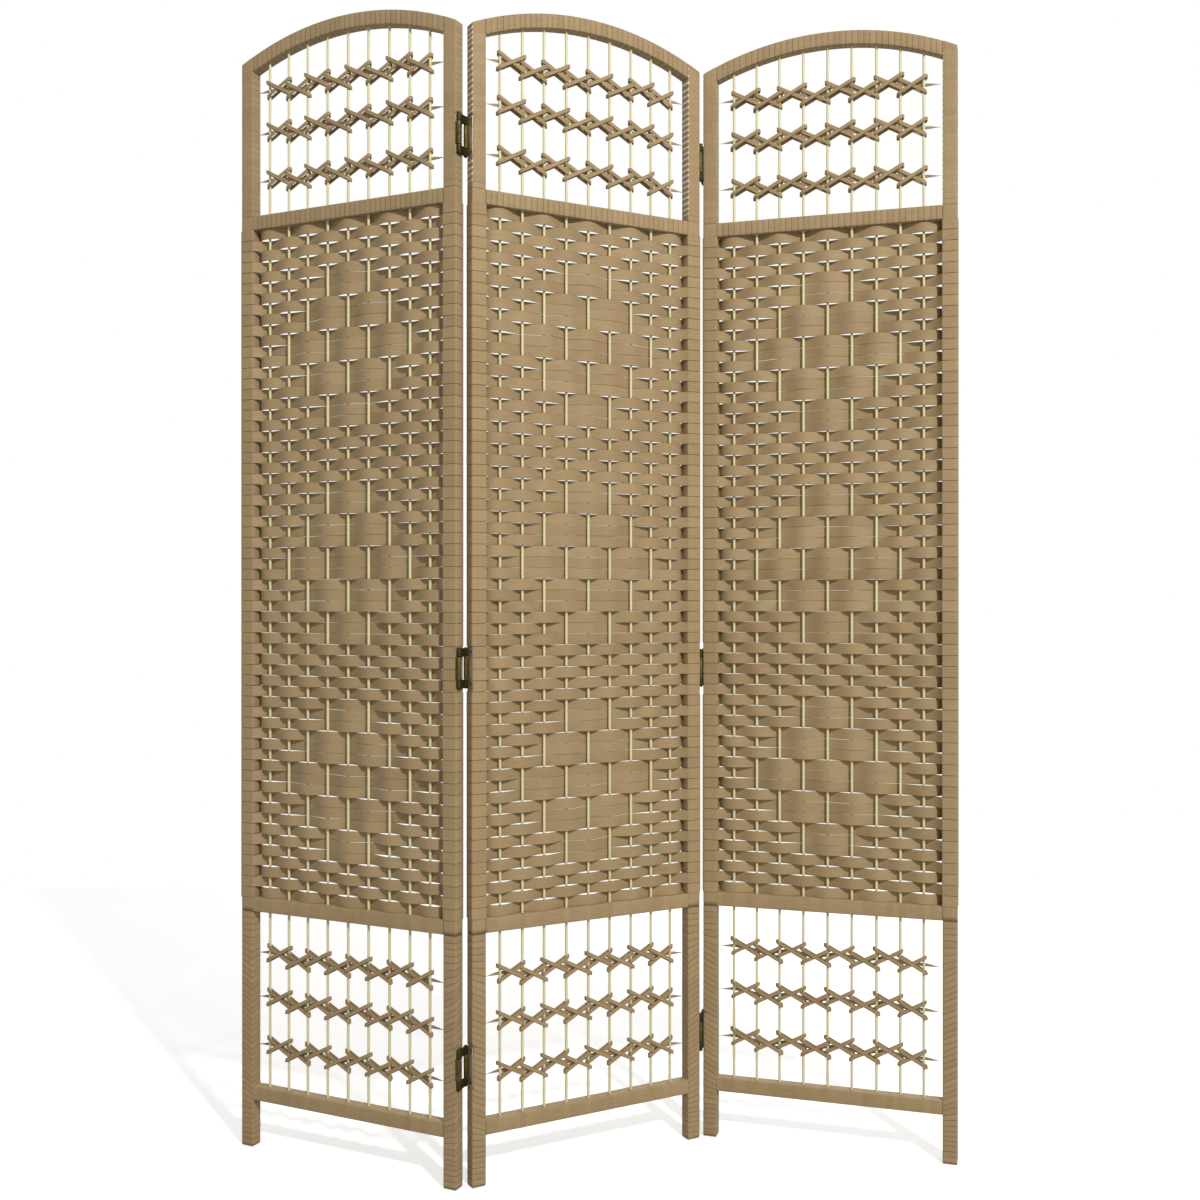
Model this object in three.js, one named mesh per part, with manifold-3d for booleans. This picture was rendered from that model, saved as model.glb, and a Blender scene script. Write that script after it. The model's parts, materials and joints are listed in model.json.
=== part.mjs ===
// Three-panel folding screen: wrapped timber frames with an arched top, nine cane rods in each
// panel, a plaited strip infill with three woven diamonds, and double-action brass hinges.
//
// Millimetres, +Z up. Each panel is built in its own frame: X runs along the panel from the outer
// edge of its left stile, Y is its thickness with the front face at -Y, and Z is height off the
// floor. The panels are then set in the zigzag that the screen stands in, and the whole is moved
// so that the origin is on the floor under the middle of its bounding box.

import * as THREE from 'three';
import { mergeVertices } from 'three/addons/utils/BufferGeometryUtils.js';
import Module from 'manifold-3d';

// ---------------------------------------------------------------- driving dimensions

const PANEL_WIDE = 400;
const PANEL_THICK = 19.6;
const STILE_WIDE = 22.3;
const EDGE_CHAMFER = 1.2;
const FOOT_CHAMFER = 2.6;

const ARCH_CENTRE_Z = 1294.4;
const ARCH_OUTER_R = 473.6;
const ARCH_RAIL_DEEP = 21.6;
const ARCH_STEPS = 10;
const STILE_TOP_STEPS = 2;

const UPPER_RAIL = { low: 1458, high: 1480 };
const LOWER_RAIL = { low: 375, high: 397 };
const BOTTOM_RAIL = { low: 75.2, high: 97 };

const TENON_LONG = 12;
const TENON_THICK = 7;
const TENON_SHOULDER = 4;
const TENON_ROOT = 6;

const ROD_AT = [49.2, 86.5, 123.3, 161.5, 200, 238, 276.4, 313.2, 348.9];
const ROD_SIZE = 4;
const ROD_HOLE = 4.8;
const ROD_SOCKET_DEEP = 9;
const ROD_END_GAP = 1;

const UPPER_TIE_Z = [1533, 1608.5, 1675];
const LOWER_TIE_Z = [160, 236, 306];
const TIE_TALL = 27;
const TIE_WAIST = 7;
const TIE_STAGGER = 7.5;

const WEAVE_ROWS = 63;
const WEAVE_HALF_THICK = 4.5;
const WEAVE_STEP = 0.7;
const BLOCK_HALF_THICK = 6;
const BLOCK_WIDE = 33;
const BLOCK_MARGIN = 1.2;
const BLOCK_ROOT = 1;
const ROWS_PER_BLOCK = 3;
const DIAMOND_FIRST_ROWS = [5, 25, 45];
const FRONT_BLOCKS = [[5], [4, 6], [3, 5, 7], [4, 6], [5]];
const BACK_BLOCK_ENDS = [[4, 6], [3, 7], [2, 8], [3, 7], [4, 6]];
const SLEEVE_WALL = 0.8;
const SLEEVE_GAP = 0.2;
const SLEEVE_WINDOW_MARGIN = 2;

const FIT_GAP = 0.3;
const CUT_PAST = 1; // how far a cutter runs past the face that it opens

const HINGE_TALL = 60;
const HINGE_PIN_OUT = 3.2;
const HINGE_PIN_OFFSET = 7;
const HINGE_PIN_SPACING = 22;
const HINGE_BOSS_R = 3.4;
const HINGE_WEB_WIDE = 4.6;
const HINGE_LINK_TALL = 13;
const HINGE_PIN_R = 1.5;
const HINGE_PIN_PROUD = 0.8;
const HINGE_BORE_R = 1.8;
const LEAF_THICK = 1.4;
const LEAF_WIDE = 18;
const LEAF_SUNK = 0.5;
const LEAF_NOTCH_DEEP = 2.1;
const SCREW_HEAD_R = 2.2;
const SCREW_HEAD_TOP_R = 1.3;
const SCREW_HEAD_PROUD = 0.35;
const SCREW_HEAD_ROOT = 0.2;
const SCREW_HEAD_SIDES = 6;
const SCREW_INSET = 6;
const ROUND_SIDES = 8;
const BOSS_STEPS = 6;

// How the screen stands: the turn of each panel and of each pair of hinge links about the vertical,
// in degrees anticlockwise from above, and the height of the middle of each hinge in its fold.
const LEFT_TURN = -25.7;
const MIDDLE_TURN = 28.9;
const RIGHT_TURN = -17.15;
const FOLD_1 = { name: 'fold_1', linkTurn: 67.9, hingeZ: { low: 178, mid: 769, top: 1558 } };
const FOLD_2 = { name: 'fold_2', linkTurn: 73.6, hingeZ: { low: 170, mid: 760, top: 1579 } };

// ---------------------------------------------------------------- finishes

const FINISHES = {
  frameWrap: { color: 0xa58c69, roughness: 0.75, metalness: 0 },
  railWrap: { color: 0x9c7f5c, roughness: 0.78, metalness: 0 },
  plait: { color: 0xb09a70, roughness: 0.7, metalness: 0 },
  cane: { color: 0xdcd4aa, roughness: 0.6, metalness: 0 },
  agedBrass: { color: 0x6f6a3c, roughness: 0.45, metalness: 0.9 },
};

function finish(name) {
  return new THREE.MeshStandardMaterial({ name, ...FINISHES[name] });
}

// ---------------------------------------------------------------- solids

const wasm = await Module();
wasm.setup();

// A closed BufferGeometry as a solid that can be joined and cut.
function solid(geometry) {
  const bare = geometry.clone();
  bare.deleteAttribute('normal');
  bare.deleteAttribute('uv');
  const merged = mergeVertices(bare, 1e-4);
  return new wasm.Manifold(new wasm.Mesh({
    numProp: 3,
    vertProperties: new Float32Array(merged.attributes.position.array),
    triVerts: new Uint32Array(merged.index.array),
  }));
}

function geometryOf(shape) {
  const mesh = shape.getMesh();
  const geometry = new THREE.BufferGeometry();
  const positions = new Float32Array((mesh.vertProperties.length / mesh.numProp) * 3);
  for (let i = 0; i < positions.length / 3; i += 1) {
    for (let k = 0; k < 3; k += 1) positions[3 * i + k] = mesh.vertProperties[mesh.numProp * i + k];
  }
  geometry.setAttribute('position', new THREE.BufferAttribute(positions, 3));
  geometry.setIndex(Array.from(mesh.triVerts));
  geometry.computeVertexNormals();
  return geometry;
}

function meshOf(name, shape, material) {
  const mesh = new THREE.Mesh(geometryOf(shape), material);
  mesh.name = name;
  return mesh;
}

function shapeFrom(points, holes = []) {
  const shape = new THREE.Shape(points.map(([u, v]) => new THREE.Vector2(u, v)));
  shape.holes = holes.map((hole) => new THREE.Path(hole.map(([u, v]) => new THREE.Vector2(u, v))));
  return shape;
}

function boxOf(low, high) {
  const size = high.map((value, k) => value - low[k]);
  const box = new THREE.BoxGeometry(...size);
  box.translate(...high.map((value, k) => (value + low[k]) / 2));
  return solid(box);
}

// A flat outline in X and Z, given thickness from y0 to y1, with chamfered front and back edges.
function slabXZ(points, y0, y1, chamfer = 0, holes = []) {
  const geometry = new THREE.ExtrudeGeometry(shapeFrom(points, holes), {
    depth: y1 - y0 - 2 * chamfer,
    bevelEnabled: chamfer > 0,
    bevelThickness: chamfer,
    bevelSize: chamfer,
    bevelOffset: -chamfer,
    bevelSegments: 1,
    curveSegments: 1,
  });
  geometry.translate(0, 0, chamfer);
  geometry.rotateX(Math.PI / 2);
  geometry.translate(0, y1, 0);
  return solid(geometry);
}

// A flat outline in X and Y, given height from z0 to z1.
function prismXY(points, z0, z1) {
  const geometry = new THREE.ExtrudeGeometry(shapeFrom(points), { depth: z1 - z0, bevelEnabled: false });
  geometry.translate(0, 0, z0);
  return solid(geometry);
}

// A section in Y and Z, carried along X from x0 to x1.
function barYZ(points, x0, x1) {
  const geometry = new THREE.ExtrudeGeometry(shapeFrom(points), { depth: x1 - x0, bevelEnabled: false });
  const turn = new THREE.Matrix4().makeBasis(
    new THREE.Vector3(0, 1, 0), new THREE.Vector3(0, 0, 1), new THREE.Vector3(1, 0, 0),
  );
  geometry.applyMatrix4(turn);
  geometry.translate(x0, 0, 0);
  return solid(geometry);
}

// A rectangle with its four corners cut off.
function chamferedRectangle(u0, u1, v0, v1, c) {
  return [
    [u0 + c, v0], [u1 - c, v0], [u1, v0 + c], [u1, v1 - c],
    [u1 - c, v1], [u0 + c, v1], [u0, v1 - c], [u0, v0 + c],
  ];
}

function circle(x, y, r, sides = ROUND_SIDES) {
  return Array.from({ length: sides }, (_, i) => {
    const turn = (2 * Math.PI * (i + 0.5)) / sides;
    return [x + r * Math.cos(turn), y + r * Math.sin(turn)];
  });
}

function joinAll(shapes) {
  return shapes.reduce((whole, piece) => whole.add(piece));
}

function cutAll(shape, cutters) {
  return cutters.length ? shape.subtract(joinAll(cutters)) : shape;
}

// ---------------------------------------------------------------- frame of one panel

const HALF_THICK = PANEL_THICK / 2;
const INNER_LEFT = STILE_WIDE;
const INNER_RIGHT = PANEL_WIDE - STILE_WIDE;
const MIDDLE_X = PANEL_WIDE / 2;
const ARCH_INNER_R = ARCH_OUTER_R - ARCH_RAIL_DEEP;

// The height of an arc of the arch, of radius r, at x along the panel.
function archZ(x, r) {
  return ARCH_CENTRE_Z + Math.sqrt(r * r - (x - MIDDLE_X) ** 2);
}

function arc(x0, x1, r, steps) {
  return Array.from({ length: steps + 1 }, (_, i) => {
    const x = x0 + ((x1 - x0) * i) / steps;
    return [x, archZ(x, r)];
  });
}

const ARCH_TENON = {
  low: archZ(INNER_LEFT, ARCH_INNER_R) + TENON_SHOULDER,
  high: archZ(INNER_LEFT, ARCH_OUTER_R) - 2 * TENON_SHOULDER,
};

function tenonBand(rail) {
  return { low: rail.low + TENON_SHOULDER, high: rail.high - TENON_SHOULDER };
}

const TENON_BANDS = [tenonBand(BOTTOM_RAIL), tenonBand(LOWER_RAIL), tenonBand(UPPER_RAIL), ARCH_TENON];

function tenonBox(x0, x1, band, clear) {
  const y = TENON_THICK / 2 + clear;
  return boxOf([x0, -y, band.low - clear], [x1, y, band.high + clear]);
}

// A stile stands the full height of its side, follows the arch at its top, has chamfered long edges
// and foot, mortises for the four rails, and a shallow notch in its outer edge for each hinge leaf.
function stileShape(side, hingeHeights) {
  const x0 = side === 'left' ? 0 : INNER_RIGHT;
  const x1 = x0 + STILE_WIDE;
  const tall = ARCH_CENTRE_Z + ARCH_OUTER_R;
  const post = prismXY(
    chamferedRectangle(x0, x1, -HALF_THICK, HALF_THICK, EDGE_CHAMFER), 0, tall,
  );
  const front = slabXZ([
    [x0, FOOT_CHAMFER], [x0 + FOOT_CHAMFER, 0], [x1 - FOOT_CHAMFER, 0], [x1, FOOT_CHAMFER],
    ...arc(x1, x0, ARCH_OUTER_R, STILE_TOP_STEPS),
  ], -PANEL_THICK, PANEL_THICK);
  const foot = barYZ([
    [-HALF_THICK, FOOT_CHAMFER], [FOOT_CHAMFER - HALF_THICK, 0], [HALF_THICK - FOOT_CHAMFER, 0],
    [HALF_THICK, FOOT_CHAMFER], [HALF_THICK, tall], [-HALF_THICK, tall],
  ], x0, x1);

  const inner = side === 'left' ? INNER_LEFT : INNER_RIGHT;
  const reach = TENON_LONG + FIT_GAP;
  const mortise = side === 'left' ? [inner - reach, inner + CUT_PAST] : [inner - CUT_PAST, inner + reach];
  const outer = side === 'left'
    ? [-CUT_PAST, LEAF_NOTCH_DEEP]
    : [PANEL_WIDE - LEAF_NOTCH_DEEP, PANEL_WIDE + CUT_PAST];
  const notchHalf = HINGE_TALL / 2 + FIT_GAP;
  const cutters = [
    ...TENON_BANDS.map((band) => tenonBox(mortise[0], mortise[1], band, FIT_GAP)),
    ...hingeHeights.map((z) => boxOf(
      [outer[0], -PANEL_THICK, z - notchHalf], [outer[1], PANEL_THICK, z + notchHalf],
    )),
  ];
  return cutAll(post.intersect(front).intersect(foot), cutters);
}

function rodHoles(z0, z1) {
  return ROD_AT.map((x) => boxOf(
    [x - ROD_HOLE / 2, -ROD_HOLE / 2, z0], [x + ROD_HOLE / 2, ROD_HOLE / 2, z1],
  ));
}

// A straight rail has chamfered edges, a tenon at each end, and a hole for every rod, from a given
// height up through its top.
function straightRail(rail, holesFrom) {
  const section = chamferedRectangle(-HALF_THICK, HALF_THICK, rail.low, rail.high, EDGE_CHAMFER);
  const body = barYZ(section, INNER_LEFT + FIT_GAP, INNER_RIGHT - FIT_GAP);
  const tenon = tenonBox(INNER_LEFT - TENON_LONG, INNER_RIGHT + TENON_LONG, tenonBand(rail), 0);
  return cutAll(body.add(tenon), rodHoles(holesFrom, rail.high + CUT_PAST));
}

function throughRail(rail) {
  return straightRail(rail, rail.low - CUT_PAST);
}

// The arched rail is a segment of a ring between the stiles, tenoned into both, with a blind socket
// in its soffit for the top of every rod.
function archRail() {
  const x0 = INNER_LEFT + FIT_GAP;
  const x1 = INNER_RIGHT - FIT_GAP;
  const outline = [...arc(x0, x1, ARCH_INNER_R, ARCH_STEPS), ...arc(x1, x0, ARCH_OUTER_R, ARCH_STEPS)];
  const body = slabXZ(outline, -HALF_THICK, HALF_THICK, EDGE_CHAMFER);
  const tenons = [
    tenonBox(INNER_LEFT - TENON_LONG, x0 + TENON_ROOT, ARCH_TENON, 0),
    tenonBox(x1 - TENON_ROOT, INNER_RIGHT + TENON_LONG, ARCH_TENON, 0),
  ];
  const sockets = ROD_AT.map((x) => {
    const soffit = archZ(x, ARCH_INNER_R);
    return boxOf(
      [x - ROD_HOLE / 2, -ROD_HOLE / 2, soffit - ROD_SOCKET_DEEP],
      [x + ROD_HOLE / 2, ROD_HOLE / 2, soffit + ROD_SOCKET_DEEP],
    );
  });
  return cutAll(joinAll([body, ...tenons]), sockets);
}

// ---------------------------------------------------------------- rods and their ties

const TIE_ROWS = [...UPPER_TIE_Z, ...LOWER_TIE_Z].sort((a, b) => a - b);

// Where the binding in one gap between two rods meets the rods and narrows between them. Every
// other binding sits a little higher, so neighbours pass each other on the rod that they share.
function bindingEdge(gap, z, upward) {
  const middle = z + (gap % 2 === 0 ? TIE_STAGGER / 2 : -TIE_STAGGER / 2);
  const x0 = ROD_AT[gap] + ROD_SIZE / 2;
  const x1 = ROD_AT[gap + 1] - ROD_SIZE / 2;
  const side = upward ? 1 : -1;
  return [
    [x0, middle + (side * TIE_TALL) / 2],
    [(x0 + x1) / 2, middle + (side * TIE_WAIST) / 2],
    [x1, middle + (side * TIE_TALL) / 2],
  ];
}

// The nine rods, held side by side by six rows of crossed bindings: one lattice, as thick as a rod.
function rodGrille() {
  const bottom = BOTTOM_RAIL.high - ROD_SOCKET_DEEP + ROD_END_GAP;
  const half = ROD_SIZE / 2;
  const tops = ROD_AT.map((x) => archZ(x, ARCH_INNER_R) + ROD_SOCKET_DEEP - ROD_END_GAP);
  const gaps = ROD_AT.slice(1).map((_, i) => i);
  const outline = [];
  ROD_AT.forEach((x, i) => {
    outline.push([x - half, bottom], [x + half, bottom]);
    if (i < gaps.length) outline.push(...bindingEdge(i, TIE_ROWS[0], false));
  });
  [...ROD_AT].reverse().forEach((x, k) => {
    const i = ROD_AT.length - 1 - k;
    outline.push([x + half, tops[i]], [x - half, tops[i]]);
    if (i > 0) outline.push(...bindingEdge(i - 1, TIE_ROWS.at(-1), true).reverse());
  });
  const windows = [];
  TIE_ROWS.slice(1).forEach((upper, row) => {
    gaps.forEach((gap) => {
      windows.push([
        ...bindingEdge(gap, TIE_ROWS[row], true),
        ...bindingEdge(gap, upper, false).reverse(),
      ]);
    });
  });
  return slabXZ(outline, -half, half, 0, windows);
}

// ---------------------------------------------------------------- plaited infill

const WEAVE_LOW = LOWER_RAIL.high + FIT_GAP;
const WEAVE_HIGH = UPPER_RAIL.low - FIT_GAP;
const ROW_TALL = (WEAVE_HIGH - WEAVE_LOW) / WEAVE_ROWS;

// Rows are counted from the top, from 1. The top of a row is a height off the floor.
function rowTop(row) {
  return WEAVE_HIGH - (row - 1) * ROW_TALL;
}

// Single rows stand forward and back by turns between the diamonds. A diamond's own rows are flush.
function courses() {
  const diamondRows = ROWS_PER_BLOCK * FRONT_BLOCKS.length;
  const list = [];
  let row = 1;
  while (row <= WEAVE_ROWS) {
    const rows = DIAMOND_FIRST_ROWS.includes(row) ? diamondRows : 1;
    list.push({ top: rowTop(row), shift: rows > 1 ? 0 : WEAVE_STEP * (row % 2 ? -1 : 1) });
    row += rows;
  }
  return list;
}

function weaveSection() {
  const list = courses();
  const faces = [-1, 1].map((side) => list.flatMap((course, i) => {
    const y = side * WEAVE_HALF_THICK + course.shift;
    const low = i + 1 < list.length ? list[i + 1].top : WEAVE_LOW;
    return [[y, course.top], [y, low]];
  }));
  return [...faces[0], ...faces[1].reverse()];
}

// A raised block from one rod to another, on one face, over one step of a diamond.
function diamondBlock(first, step, rods, side) {
  const top = rowTop(first + step * ROWS_PER_BLOCK);
  const low = rowTop(first + (step + 1) * ROWS_PER_BLOCK);
  const margin = side < 0 ? BLOCK_MARGIN : 0;
  const near = side * (ROD_HOLE / 2 + BLOCK_ROOT);
  const far = side * BLOCK_HALF_THICK;
  return boxOf(
    [ROD_AT[rods[0] - 1] - BLOCK_WIDE / 2, Math.min(near, far), low + margin],
    [ROD_AT[rods.at(-1) - 1] + BLOCK_WIDE / 2, Math.max(near, far), top - margin],
  );
}

// The three-row floats that draw the diamonds stand proud of both faces. On the front each is a
// block over its own rod. On the back the floats lie over the rods between, and run together into
// one stepped diamond.
function diamondBlocks() {
  return DIAMOND_FIRST_ROWS.flatMap((first) => [
    ...FRONT_BLOCKS.flatMap((rods, step) => rods.map((rod) => diamondBlock(first, step, [rod], -1))),
    ...BACK_BLOCK_ENDS.map((rods, step) => diamondBlock(first, step, rods, 1)),
  ]);
}

// The ends of the rows wrap round each stile as a sleeve that clears it and its hinge leaf.
function stileSleeve(side, hingeZ) {
  const x0 = side === 'left' ? 0 : INNER_RIGHT;
  const x1 = x0 + STILE_WIDE;
  const ring = (grow, z0, z1) => prismXY(
    chamferedRectangle(x0 - grow, x1 + grow, -HALF_THICK - grow, HALF_THICK + grow, EDGE_CHAMFER), z0, z1,
  );
  const wall = ring(SLEEVE_GAP + SLEEVE_WALL, WEAVE_LOW, WEAVE_HIGH);
  const window = HINGE_TALL / 2 + SLEEVE_WINDOW_MARGIN;
  const outer = side === 'left'
    ? [-PANEL_THICK, LEAF_SUNK]
    : [PANEL_WIDE - LEAF_SUNK, PANEL_WIDE + PANEL_THICK];
  const cutters = hingeZ === null ? [] : [boxOf(
    [outer[0], -PANEL_THICK, hingeZ - window], [outer[1], PANEL_THICK, hingeZ + window],
  )];
  return { wall, post: ring(SLEEVE_GAP, WEAVE_LOW - CUT_PAST, WEAVE_HIGH + CUT_PAST), cutters };
}

function plaitedInfill(leftHingeZ, rightHingeZ) {
  const mat = barYZ(weaveSection(), INNER_LEFT, INNER_RIGHT);
  const sleeves = [stileSleeve('left', leftHingeZ), stileSleeve('right', rightHingeZ)];
  const whole = joinAll([mat, ...diamondBlocks(), ...sleeves.map((sleeve) => sleeve.wall)]);
  return cutAll(whole, [
    ...sleeves.flatMap((sleeve) => [sleeve.post, ...sleeve.cutters]),
    ...rodHoles(WEAVE_LOW - CUT_PAST, WEAVE_HIGH + CUT_PAST),
  ]);
}

// ---------------------------------------------------------------- hinges

// The pin on a panel's left edge sits towards its back, and the one on its right edge towards its
// front, so that the panels can lie flat on each other whichever way the fold closes.
const LEFT_PIN = [-HINGE_PIN_OUT, HINGE_PIN_OFFSET];
const RIGHT_PIN = [PANEL_WIDE + HINGE_PIN_OUT, -HINGE_PIN_OFFSET];

// Half of a round boss about (x, 0), open on the side where a web of the given width leaves it.
function bossArc(x, away) {
  const mouth = Math.asin(HINGE_WEB_WIDE / 2 / HINGE_BOSS_R);
  return Array.from({ length: BOSS_STEPS + 1 }, (_, i) => {
    const turn = mouth + ((2 * Math.PI - 2 * mouth) * i) / BOSS_STEPS;
    return [x + away * HINGE_BOSS_R * Math.cos(turn), away * HINGE_BOSS_R * Math.sin(turn)];
  });
}

// A leaf lies in its notch in the stile's edge. It carries a knuckle between the two links and two
// domed screw heads, one above the knuckle and one below.
function hingeLeaf(side, z) {
  const out = side === 'left' ? -1 : 1;
  const edge = side === 'left' ? 0 : PANEL_WIDE;
  const pin = side === 'left' ? LEFT_PIN : RIGHT_PIN;
  const outer = edge - out * LEAF_SUNK;
  const inner = outer - out * LEAF_THICK;
  const plate = boxOf(
    [Math.min(inner, outer), -LEAF_WIDE / 2, z - HINGE_TALL / 2],
    [Math.max(inner, outer), LEAF_WIDE / 2, z + HINGE_TALL / 2],
  );
  const knuckleHalf = HINGE_TALL / 2 - HINGE_LINK_TALL - FIT_GAP;
  const root = (outer + inner) / 2;
  const knuckle = prismXY([
    ...bossArc(0, -out).map(([x, y]) => [pin[0] + x, pin[1] + y]),
    [root, pin[1] + (out * HINGE_WEB_WIDE) / 2],
    [root, pin[1] - (out * HINGE_WEB_WIDE) / 2],
  ], z - knuckleHalf, z + knuckleHalf);
  const bore = prismXY(circle(pin[0], pin[1], HINGE_BORE_R), z - HINGE_TALL, z + HINGE_TALL);
  const heads = [-1, 1].map((end) => {
    const head = new THREE.CylinderGeometry(
      SCREW_HEAD_TOP_R, SCREW_HEAD_R, SCREW_HEAD_PROUD + SCREW_HEAD_ROOT, SCREW_HEAD_SIDES,
    );
    head.translate(0, (SCREW_HEAD_PROUD - SCREW_HEAD_ROOT) / 2, 0);
    head.rotateZ((-out * Math.PI) / 2);
    head.translate(outer, -pin[1] / 2, z + end * (HINGE_TALL / 2 - SCREW_INSET));
    return solid(head);
  });
  return cutAll(joinAll([plate, knuckle, ...heads]), [bore]);
}

// A link joins the two pins above or below the knuckles. Its frame has one pin at the origin and
// the other along +X.
function hingeLink(z0, z1) {
  const far = HINGE_PIN_SPACING;
  const outline = [...bossArc(0, 1), ...bossArc(far, -1)];
  const bores = [0, far].map((x) => prismXY(circle(x, 0, HINGE_BORE_R), z0 - CUT_PAST, z1 + CUT_PAST));
  return cutAll(prismXY(outline, z0, z1), bores);
}

function hingePin(x, z) {
  const half = HINGE_TALL / 2 + HINGE_PIN_PROUD;
  return prismXY(circle(x, 0, HINGE_PIN_R), z - half, z + half);
}

// ---------------------------------------------------------------- assembly

const agedBrass = finish('agedBrass');
const screen = new THREE.Group();

// One panel, with the hinge leaves that it carries on its left and right edges.
function buildPanel(name, leftFold, rightFold) {
  const panel = new THREE.Group();
  const frameWrap = finish('frameWrap');
  const railWrap = finish('railWrap');
  const heights = (fold) => (fold ? Object.values(fold.hingeZ) : []);
  const midZ = (fold) => (fold ? fold.hingeZ.mid : null);
  const rodBottom = BOTTOM_RAIL.high - ROD_SOCKET_DEEP;
  const add = (part, shape, material) => panel.add(meshOf(`${name}_${part}`, shape, material));

  add('stile_left', stileShape('left', heights(leftFold)), frameWrap);
  add('stile_right', stileShape('right', heights(rightFold)), frameWrap);
  add('arch_rail', archRail(), railWrap);
  add('upper_rail', throughRail(UPPER_RAIL), railWrap);
  add('lower_rail', throughRail(LOWER_RAIL), railWrap);
  add('bottom_rail', straightRail(BOTTOM_RAIL, rodBottom), railWrap);
  add('rod_grille', rodGrille(), finish('cane'));
  add('plaited_infill', plaitedInfill(midZ(leftFold), midZ(rightFold)), finish('plait'));

  [['left', leftFold], ['right', rightFold]].forEach(([side, fold]) => {
    if (!fold) return;
    const half = side === 'left' ? 'b' : 'a';
    Object.entries(fold.hingeZ).forEach(([place, z]) => {
      panel.add(meshOf(`${fold.name}_${place}_leaf_${half}`, hingeLeaf(side, z), agedBrass));
    });
  });
  return panel;
}

// The links and pins of one fold, which turn together between the two panels.
function buildLinks(fold) {
  const links = new THREE.Group();
  Object.entries(fold.hingeZ).forEach(([place, z]) => {
    const top = z + HINGE_TALL / 2;
    const low = z - HINGE_TALL / 2;
    const label = `${fold.name}_${place}`;
    links.add(meshOf(`${label}_link_top`, hingeLink(top - HINGE_LINK_TALL, top), agedBrass));
    links.add(meshOf(`${label}_link_low`, hingeLink(low, low + HINGE_LINK_TALL), agedBrass));
    links.add(meshOf(`${label}_pin_a`, hingePin(0, z), agedBrass));
    links.add(meshOf(`${label}_pin_b`, hingePin(HINGE_PIN_SPACING, z), agedBrass));
  });
  return links;
}

function turned([x, y], degrees) {
  const turn = THREE.MathUtils.degToRad(degrees);
  return new THREE.Vector2(x * Math.cos(turn) - y * Math.sin(turn), x * Math.sin(turn) + y * Math.cos(turn));
}

function place(group, at, degrees) {
  group.position.set(at.x, at.y, 0);
  group.rotation.z = THREE.MathUtils.degToRad(degrees);
  screen.add(group);
}

// The middle panel is set first, and each fold is worked out from it, pin by pin.
const spacing = [HINGE_PIN_SPACING, 0];
const fold1PinB = turned(LEFT_PIN, MIDDLE_TURN);
const fold1PinA = fold1PinB.clone().sub(turned(spacing, FOLD_1.linkTurn));
const fold2PinA = turned(RIGHT_PIN, MIDDLE_TURN);
const fold2PinB = fold2PinA.clone().add(turned(spacing, FOLD_2.linkTurn));

place(buildPanel('middle', FOLD_1, FOLD_2), new THREE.Vector2(0, 0), MIDDLE_TURN);
place(buildLinks(FOLD_1), fold1PinA, FOLD_1.linkTurn);
place(buildLinks(FOLD_2), fold2PinA, FOLD_2.linkTurn);
place(buildPanel('left', null, FOLD_1), fold1PinA.clone().sub(turned(RIGHT_PIN, LEFT_TURN)), LEFT_TURN);
place(buildPanel('right', FOLD_2, null), fold2PinB.clone().sub(turned(LEFT_PIN, RIGHT_TURN)), RIGHT_TURN);

screen.updateMatrixWorld(true);
const footprint = new THREE.Box3();
screen.traverse((node) => {
  if (node.isMesh) footprint.expandByObject(node, true);
});
const centre = footprint.getCenter(new THREE.Vector3());
screen.position.set(-centre.x, -centre.y, -footprint.min.z);

export default screen;
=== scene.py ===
"""Looks of a three-panel folding screen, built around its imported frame.

Each panel is worked in its own axes: x along the panel from its middle, y through its thickness with
the front at -y, and z up from the floor. Lengths are in metres. Surfaces are rings of a profile that
is carried along a path, worked out as whole arrays and then turned into the row's frame.
"""

import math

import bpy
import numpy as np
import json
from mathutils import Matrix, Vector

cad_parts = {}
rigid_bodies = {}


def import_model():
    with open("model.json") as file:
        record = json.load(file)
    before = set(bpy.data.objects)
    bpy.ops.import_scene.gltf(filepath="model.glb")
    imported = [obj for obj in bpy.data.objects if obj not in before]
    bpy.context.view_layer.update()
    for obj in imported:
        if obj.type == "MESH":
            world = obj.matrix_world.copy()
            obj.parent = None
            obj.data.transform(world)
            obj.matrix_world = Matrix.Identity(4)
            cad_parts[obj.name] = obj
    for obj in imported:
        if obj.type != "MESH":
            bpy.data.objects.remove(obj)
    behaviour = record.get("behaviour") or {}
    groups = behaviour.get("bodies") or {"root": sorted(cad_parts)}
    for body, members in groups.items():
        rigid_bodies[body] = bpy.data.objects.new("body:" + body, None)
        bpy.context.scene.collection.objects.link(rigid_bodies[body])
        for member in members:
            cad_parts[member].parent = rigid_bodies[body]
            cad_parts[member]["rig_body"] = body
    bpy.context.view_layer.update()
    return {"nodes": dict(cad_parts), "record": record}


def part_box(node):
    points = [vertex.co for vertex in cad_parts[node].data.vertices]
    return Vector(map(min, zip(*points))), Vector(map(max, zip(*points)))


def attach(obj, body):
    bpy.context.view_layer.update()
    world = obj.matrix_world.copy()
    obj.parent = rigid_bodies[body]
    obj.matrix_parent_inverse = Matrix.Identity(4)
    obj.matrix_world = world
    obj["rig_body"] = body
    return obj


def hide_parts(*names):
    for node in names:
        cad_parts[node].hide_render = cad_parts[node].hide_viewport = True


bl_info = {
    "name": "Folding screen finish",
    "version": (1, 0, 0),
    "blender": (4, 5, 0),
    "location": "3D View > Sidebar > Screen",
    "description": "Strip-wrapped frames, plaited infill, cane rods, bindings and hinges of a folding screen",
    "category": "Object",
}

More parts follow.
